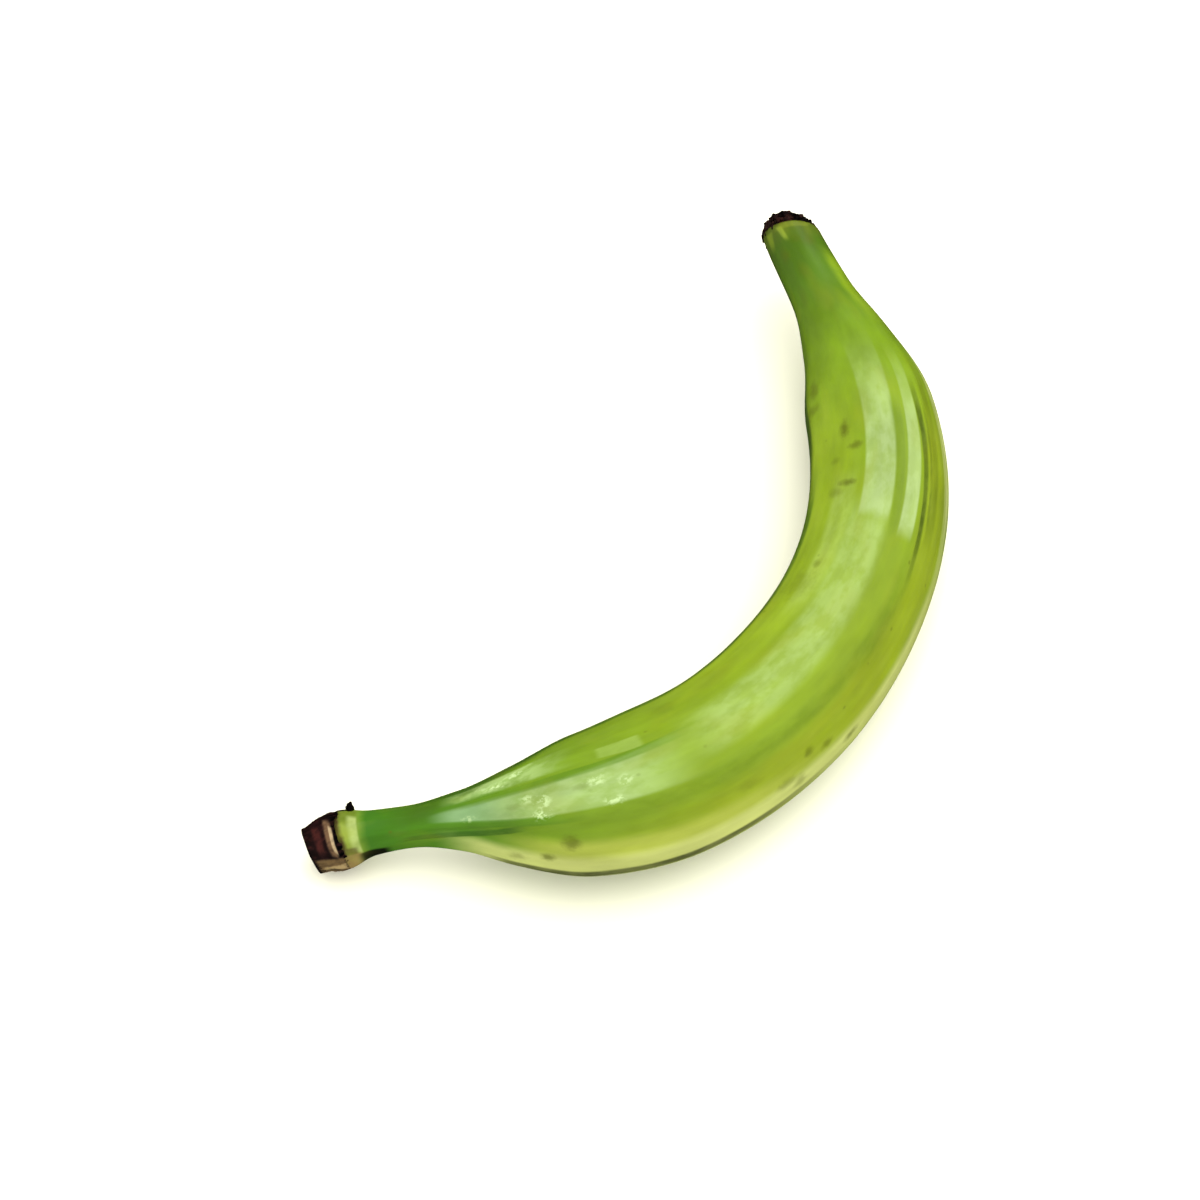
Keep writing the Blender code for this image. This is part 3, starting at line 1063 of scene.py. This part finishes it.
# Red-brown and woody, with pale torn strands at the collar and a tan underside.
STALK_TISSUE = DriedTissue(
    name="dried_stalk_tissue",
    lengthwise=(
        (0, "080302"), (1.5, "170604"), (4, "1f0708"), (7, "150604"), (8.5, "060202"), (11, "030101"),
    ),
    tints=(
        Tint(Stroke(5.6, 8.2, (0, 20), (4.6, 4.6), 2, (0.8, 0.8)), "6a4f34", 0.85, 0.5),
        Tint(Stroke(7, 8.3, (10, 24), (3, 3), 1.6, (0.4, 0.4)), "b09a74", 0.8, 0.4),
        Tint(Stroke(2.2, 5.2, (-2, 10), (3.6, 3), 2, (1, 1)), "4a1a12", 0.6, 0.6),
        Tint(Stroke(0.5, 10.5, (100, 97), (4.2, 3.4), 1.4, (1, 0.6)), "6a5330", 0.85, 0.35),
        Tint(Stroke(1.5, 9.5, (104, 98), (1.2, 1.2), 1, (1.5, 1)), "a08a5e", 0.75, 0.3),
        Tint(Stroke(1, 9, (112, 108), (0.4, 0.4), 0.5, (1.5, 1)), "1c0f08", 0.8, 0.3),
    ),
    fibre="3a120e",
    fibre_share=0.55,
    fibre_along=2.2,
    fibre_round=1.0,
)
# Nearly black, with rusty crumbs.
BLOSSOM_TISSUE = DriedTissue(
    name="dried_blossom_tissue",
    lengthwise=((311, "140b04"), (314, "0a0402"), (324, "080302")),
    tints=(
        Tint(Stroke(312, 320, (-75, -75), (3.5, 3.5), 2.5, (2, 2)), "2c130c", 0.7, 0.6),
        Tint(Stroke(312, 318, (-20, -20), (1.5, 1.5), 1.5, (2, 2)), "30120a", 0.7, 0.6),
    ),
    fibre="4a251a",
    fibre_share=0.6,
    fibre_along=1.2,
    fibre_round=1.2,
)


def floor_material() -> Material:
    """Builds the floor's matt, slightly warm white paper.

    Returns:
        The material.
    """
    material = bpy.data.materials.new("matt_white_paper")
    material.use_nodes = True
    shader = material.node_tree.nodes["Principled BSDF"]
    shader.inputs["Base Color"].default_value = linear("f5f2dc")
    shader.inputs["Roughness"].default_value = 1.0
    shader.inputs["Specular IOR Level"].default_value = 0.0
    return material


# ------------------------------------------------------------------ the fruit's pieces


class End(Enum):
    """The two ends of the fruit, by the sign of the way out of each along the middle line."""

    STALK = -1
    BLOSSOM = 1


def closing_rings(end: End, place: float, steps: Stations) -> tuple[list[float], list[float]]:
    """Lists the rings that close a skin at one end, in order from the stalk's end.

    Args:
        end: Which end is closed.
        place: Where the skin's side stops.
        steps: From the side inwards: how far past that place each ring lies, and its share.

    Returns:
        The rings' places and their shares of the radius.
    """
    rings = [(place + end.value * past, share) for past, share in steps]
    ordered = rings if end is End.BLOSSOM else rings[::-1]
    return [ring[0] for ring in ordered], [ring[1] for ring in ordered]


@dataclass
class SkinPiece:
    """A stretch of the fruit that is one closed skin, from first to last along the fruit.

    Sizes are in millimetres and degrees. Rings stand a gap apart, and the steps close the ends. A
    piece with no radius of its own has the fruit's.
    """

    form: FruitForm
    name: str
    finish: WaxyPeel | DriedTissue
    seed: float
    first: float
    last: float
    gap: float
    sides: int
    start_steps: Stations
    end_steps: Stations
    ridges: tuple[float, ...]
    flatness: Stations
    sharpness: Stations
    reliefs: tuple[Relief, ...]
    radius: Stations | None = None
    ribs: tuple[Rib, ...] = ()

    def rings(self) -> Rings:
        """Lays out the rings in order from the stalk's end.

        Returns:
            The rings.
        """
        count = round((self.last - self.first) / self.gap)
        side = np.linspace(self.first, self.last, count + 1)
        start_places, start_shares = closing_rings(End.STALK, self.first, self.start_steps)
        end_places, end_shares = closing_rings(End.BLOSSOM, self.last, self.end_steps)
        places = np.concatenate([start_places, side, end_places])
        held = np.clip(places, self.first, self.last)
        return Rings(
            np.clip(places, 0.0, self.form.length),
            monotone_curve(self.radius, held) if self.radius else self.form.radius(held),
            np.concatenate([start_shares, np.ones_like(side), end_shares]),
            monotone_curve(self.flatness, held),
            monotone_curve(self.sharpness, held),
        )

    def build(self) -> Object:
        """Makes the piece and dresses it."""
        return SweptSkin(f"{self.name}_skin", self.ridges, self.ribs, self.reliefs).wrap(self)


@dataclass
class Peel(SkinPiece):
    """The green peel, from the collar round the dried stalk to the lip round the blossom crust."""

    name: str = "peel"
    finish: WaxyPeel = WaxyPeel()
    seed: float = 4.0
    first: float = 9.6
    last: float = 313.0
    gap: float = 0.72
    sides: int = 168
    start_steps: Stations = (
        (0.25, 0.985), (0.45, 0.955), (0.5, 0.9), (0.3, 0.86), (-0.6, 0.8), (-1, 0.4), (-1, 0),
    )
    end_steps: Stations = (
        (0.3, 0.985), (0.5, 0.95), (0.5, 0.9), (0.2, 0.85), (-0.6, 0.8), (-1, 0.4), (-1, 0),
    )
    ridges: tuple[float, ...] = FruitForm.ridges
    flatness: Stations = (
        (9, 0.55), (28, 0.55), (60, 0.5), (110, 0.45), (245, 0.38), (290, 0.25), (318, 0.15),
    )
    sharpness: Stations = ((9, 24), (40, 40), (100, 40), (150, 30), (230, 34), (300, 16))
    reliefs: tuple[Relief, ...] = (Relief(0.3, 70, 24), Relief(0.2, 80, 5), Relief(0.1, 9, 6))
    ribs: tuple[Rib, ...] = (
        Rib(NECK_RIB, 0.3),
        Rib(NECK_LINE, 0.3),
        Rib(FLANK_LINE, 0.25),
        Rib(LONG_LINE, 0.15),
        Rib(DEEP_GROOVE, -0.35),
        Rib(SIDE_GROOVE, -0.2),
        Rib(TOP_GROOVE, -0.2),
        Rib(Stroke(18, 120, (-70, -70), (0.3, 0.8), 1.4, (20, 20)), 0.25),
        Rib(Stroke(18, 110, (165, 165), (0.3, 0.8), 1.4, (20, 20)), 0.25),
        Rib(Stroke(18, 110, (-132, -132), (0.3, 0.8), 1.4, (20, 20)), 0.25),
    )


@dataclass
class CutStalk(SkinPiece):
    """The stalk's dried stub, squarish and shrunken, between the collar and the knife's cut."""

    name: str = "dried_stalk"
    finish: DriedTissue = STALK_TISSUE
    seed: float = 11.0
    first: float = 0.5
    last: float = 11.5
    gap: float = 0.3
    sides: int = 120
    start_steps: Stations = (
        (0.3, 0.985), (0.45, 0.95), (0.45, 0.88), (0.3, 0.8), (0.15, 0.6), (0.25, 0.4), (0.2, 0.2),
        (0.2, 0),
    )
    end_steps: Stations = ((0, 0.5), (0, 0))
    ridges: tuple[float, ...] = (-142, -58, 30, 122)
    radius: Stations = ((0, 6.7), (3, 7.2), (8, 8.3), (9.6, 8.3), (11.5, 6.5))
    flatness: Stations = ((0, 0.5), (8, 0.45), (11.5, 0.3))
    sharpness: Stations = ((0, 26), (11.5, 20))
    reliefs: tuple[Relief, ...] = (Relief(1.3, 5, 4), Relief(0.8, 7, 1.1), Relief(0.5, 0.9, 4))


@dataclass
class BlossomEnd(SkinPiece):
    """The black crust where the flower dried and fell."""

    name: str = "blossom_crust"
    finish: DriedTissue = BLOSSOM_TISSUE
    seed: float = 23.0
    first: float = 311.5
    last: float = 316.5
    gap: float = 0.22
    sides: int = 110
    start_steps: Stations = ((0, 0.5), (0, 0))
    end_steps: Stations = (
        (0.8, 0.985), (1.8, 0.94), (2.8, 0.86), (3.6, 0.74), (4.2, 0.58), (4.5, 0.4), (4.7, 0.2),
        (4.8, 0),
    )
    ridges: tuple[float, ...] = (-140, -75, -10, 50, 110, 170)
    radius: Stations = ((311.5, 7.6), (313.2, 8.6), (314.6, 8.3), (316.5, 7.2))
    flatness: Stations = ((311, 0.3), (316.5, 0.6))
    sharpness: Stations = ((311, 20), (316.5, 14))
    reliefs: tuple[Relief, ...] = (Relief(2.8, 3, 3.2), Relief(2.4, 1.4, 1.2))
    ribs: tuple[Rib, ...] = (
        Rib(Stroke(313.2, 325, (80, 80), (4, 4), 4, (1.5, 1)), -1.3),
        Rib(Stroke(314.5, 325, (-60, -60), (3, 3), 3, (1.5, 1)), -0.6),
    )


@dataclass(frozen=True)
class Shred:
    """A ring of torn fibres, in millimetres and degrees.

    Their feet stand at a place along the fruit and a reach from its middle line. Lean is how far
    they point along the fruit, from -1 to 1, rather than straight out.
    """

    place: float
    reach: float
    angles: tuple[float, float]
    count: int
    lean: float
    length: float
    thickness: float


def fibre_tree() -> Tree:
    """Builds Geometry Nodes that stand one tapered fibre on each point, with its own tilt and size.

    Returns:
        The tree. Its points carry their fibre's direction, ahead, and size.
    """
    kinds = {
        "Tilt": "NodeSocketFloat",
        "Raggedness": "NodeSocketFloat",
        "Seed": "NodeSocketInt",
        "Material": "NodeSocketMaterial",
    }
    tree, given = geometry_tree("torn_fibres", kinds)
    points = add_node(tree, "GeometryNodeMeshToPoints", {"Mesh": given.outputs["Geometry"]})
    sizes = {"Radius Top": 0.12, "Radius Bottom": 0.5, "Depth": 1.0}
    fibre = add_node(tree, "GeometryNodeMeshCone", {"Vertices": 7, "Side Segments": 4, **sizes})
    stored = ({"Name": name} for name in ("ahead", "size"))
    ahead, size = (add_node(tree, ATTRIBUTE, name, data_type="FLOAT_VECTOR") for name in stored)
    tilt = given.outputs["Tilt"]
    low = add_node(tree, VECTOR, {0: (-1.0, -1.0, -1.0), "Scale": tilt}, "SCALE")
    high = add_node(tree, VECTOR, {0: (1.0, 1.0, 1.0), "Scale": tilt}, "SCALE")
    spread = {"Min": low, "Max": high, "Seed": given.outputs["Seed"]}
    aside = add_node(tree, "FunctionNodeRandomValue", spread, data_type="FLOAT_VECTOR")
    way = add_node(tree, VECTOR, (ahead, aside), "ADD")
    turn = add_node(tree, "FunctionNodeAlignRotationToVector", {"Vector": way}, axis="Z")
    ranges = {"Min": 0.45, "Max": 1.25, "Seed": given.outputs["Seed"]}
    share = add_node(tree, "FunctionNodeRandomValue", ranges, data_type="FLOAT")
    scale = add_node(tree, VECTOR, {0: size, "Scale": share}, "SCALE")
    stood = {"Points": points, "Instance": fibre.outputs["Mesh"], "Rotation": turn, "Scale": scale}
    fibres = add_node(tree, "GeometryNodeInstanceOnPoints", stood)
    real = add_node(tree, "GeometryNodeRealizeInstances", (fibres,))
    grain = add_node(tree, NOISE, {"Scale": FIBRE_GRAIN, "Detail": 1.0, "Roughness": 0.5})
    centred = add_node(tree, VECTOR, (grain.outputs[1], (0.5, 0.5, 0.5)), "SUBTRACT")
    push = {0: centred, "Scale": given.outputs["Raggedness"]}
    moved = {"Geometry": real, "Offset": add_node(tree, VECTOR, push, "SCALE")}
    ragged = add_node(tree, "GeometryNodeSetPosition", moved)
    end_tree(tree, ragged, given.outputs["Material"])
    return tree


@dataclass
class TornFibres:
    """Torn, dried fibres at one end of the fruit."""

    name: str
    form: FruitForm
    shreds: tuple[Shred, ...]
    finish: DriedTissue
    seed: int
    tilt: float = 0.3
    raggedness: float = 0.5

    def build(self) -> Object:
        """Makes the fibres.

        Returns:
            The fibres of this end as one mesh object.
        """
        rows = []
        for shred in self.shreds:
            for angle in np.radians(np.linspace(*shred.angles, shred.count)):
                size = (shred.thickness, shred.length)
                rows.append((shred.place, angle, shred.reach, shred.lean, *size))
        place, angle, reach, lean, thick, length = np.array(rows).T
        centres, upward, outward = self.form.frames(place)
        away = np.sin(angle)[:, None] * outward + np.cos(angle)[:, None] * upward
        along = np.cross(upward, outward)
        ahead = (1.0 - np.abs(lean))[:, None] * away - lean[:, None] * along
        points = centres + away * reach[:, None]
        straight = np.column_stack([place, reach * np.sin(angle), reach * np.cos(angle)])
        values = {"ahead": ahead, "size": np.column_stack([thick, thick, length]) * MM}
        cloud = point_cloud(self.name, points * MM, values | {STRAIGHT: straight * MM})
        inputs = {
            "Tilt": self.tilt,
            "Raggedness": self.raggedness * MM,
            "Seed": self.seed,
            "Material": self.finish.material(),
        }
        return grown_mesh(cloud, fibre_tree(), inputs)


STALK_SHREDS = (
    Shred(12.8, 6.7, (-72, -64), 4, 0.1, 2.5, 2.5),
    Shred(10.1, 7.4, (-170, 150), 26, 0.75, 1, 0.9),
    Shred(0.9, 5.6, (-180, 170), 22, -0.75, 1.3, 1.1),
    Shred(0.9, 3.2, (-180, 150), 12, -0.95, 1.1, 1.2),
)
BLOSSOM_SHREDS = (
    Shred(313.7, 7.9, (-180, 172), 44, 0.85, 1.5, 1.5),
    Shred(315, 7.6, (-160, 40), 26, 0.7, 1.9, 2),
    Shred(317.4, 6.4, (-160, 30), 18, 0.8, 2, 2.2),
    Shred(319.6, 4.2, (-180, 150), 14, 0.9, 1.9, 2.2),
)


# ------------------------------------------------------------------ the studio


@dataclass(frozen=True)
class SoftLight:
    """A broad light, far away: where it is seen from the camera, and how strong and wide it is."""

    name: str
    lean: float
    turn: float
    width: float
    strength: float
    gives_shade: bool

    def build(self, azimuth: float) -> None:
        """Hangs the light.

        Args:
            azimuth: The camera's azimuth in degrees, which the light's own turn is added to.
        """
        lamp = bpy.data.lights.new(self.name, "SUN")
        lamp.angle = math.radians(self.width)
        lamp.energy = self.strength
        light = bpy.data.objects.new(self.name, lamp)
        turn, lean = math.radians(azimuth + self.turn), math.radians(self.lean)
        level = math.sin(lean)
        towards = Vector((math.sin(turn) * level, -math.cos(turn) * level, math.cos(lean)))
        light.rotation_euler = towards.to_track_quat("Z", "Y").to_euler()
        light.visible_glossy = not self.gives_shade
        light.visible_diffuse = self.gives_shade
        bpy.context.scene.collection.objects.link(light)


@dataclass(frozen=True)
class Studio:
    """A white floor under broad, soft light, seen from above the stalk's end.

    The main light and the fill are polarised across the lens, so that only the weaker sheen light
    shows as gloss and the green stays deep.
    """

    azimuth: float = -57.0
    elevation: float = 60.0
    distance: float = 0.57
    lens: float = 60.0
    aim: tuple[float, float, float] = (-0.0233, 0.0257, 0.020)
    floor_size: float = 6.0
    lights: tuple[SoftLight, ...] = (
        SoftLight("main_light", lean=24.0, turn=142.0, width=75.0, strength=2.35, gives_shade=True),
        SoftLight("sheen_light", lean=32.0, turn=158.0, width=26.0, strength=0.3, gives_shade=False),
    )
    fill: float = 1.34
    gloss_fill: float = 0.02

    def build(self) -> None:
        """Makes the floor, the lights, the surroundings and the camera."""
        self._floor()
        for light in self.lights:
            light.build(self.azimuth)
        self._surroundings()
        self._camera()

    def _floor(self) -> None:
        """Makes the floor."""
        bpy.ops.mesh.primitive_plane_add(size=self.floor_size)
        floor = bpy.context.object
        floor.name = "studio_floor"
        floor.data.materials.append(floor_material())
        floor.visible_glossy = False

    def _surroundings(self) -> None:
        """Makes the even light from all round, and the white that the camera sees past the floor."""
        world = bpy.data.worlds.new("white_studio")
        world.use_nodes = True
        tree = world.node_tree
        background = tree.nodes["Background"]
        rays = add_node(tree, "ShaderNodeLightPath")
        gloss = {"Factor": rays.outputs["Is Glossy Ray"], "A": self.fill, "B": self.gloss_fill}
        shown = {"Factor": rays.outputs["Is Camera Ray"], "A": add_node(tree, MIX, gloss), "B": 1.0}
        tree.links.new(add_node(tree, MIX, shown).outputs[0], background.inputs["Strength"])
        background.inputs["Color"].default_value = (1.0, 1.0, 1.0, 1.0)
        bpy.context.scene.world = world
        bpy.context.scene.view_settings.view_transform = "Standard"

    def _camera(self) -> None:
        """Makes the camera."""
        lens = bpy.data.cameras.new("camera")
        lens.lens = self.lens
        camera = bpy.data.objects.new("camera", lens)
        turn, rise = math.radians(self.azimuth), math.radians(self.elevation)
        level = math.cos(rise)
        away = Vector((math.sin(turn) * level, -math.cos(turn) * level, math.sin(rise)))
        camera.location = Vector(self.aim) + away * self.distance
        camera.rotation_euler = away.to_track_quat("Z", "Y").to_euler()
        bpy.context.scene.collection.objects.link(camera)
        bpy.context.scene.camera = camera


def main() -> None:
    """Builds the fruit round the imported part, then the studio."""
    logging.basicConfig(level=logging.INFO, format="%(name)s: %(message)s")
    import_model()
    low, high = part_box(NODE)
    form = FruitForm()
    pieces = [
        Peel(form).build(),
        CutStalk(form).build(),
        BlossomEnd(form).build(),
        TornFibres("stalk_fibres", form, STALK_SHREDS, STALK_TISSUE, 5).build(),
        TornFibres("blossom_fibres", form, BLOSSOM_SHREDS, BLOSSOM_TISSUE, 9).build(),
    ]
    own_low, own_high = form.box()
    shift = (Vector(low) + Vector(high) - Vector(own_low + own_high) * MM) / 2
    shift.z = low[2]
    for piece in pieces:
        piece.data.transform(Matrix.Translation(shift))
        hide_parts(NODE)
        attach(piece, BODY)
        LOG.info("%s: %d faces", piece.name, len(piece.data.polygons))
    Studio().build()


if __name__ == "__main__":
    main()
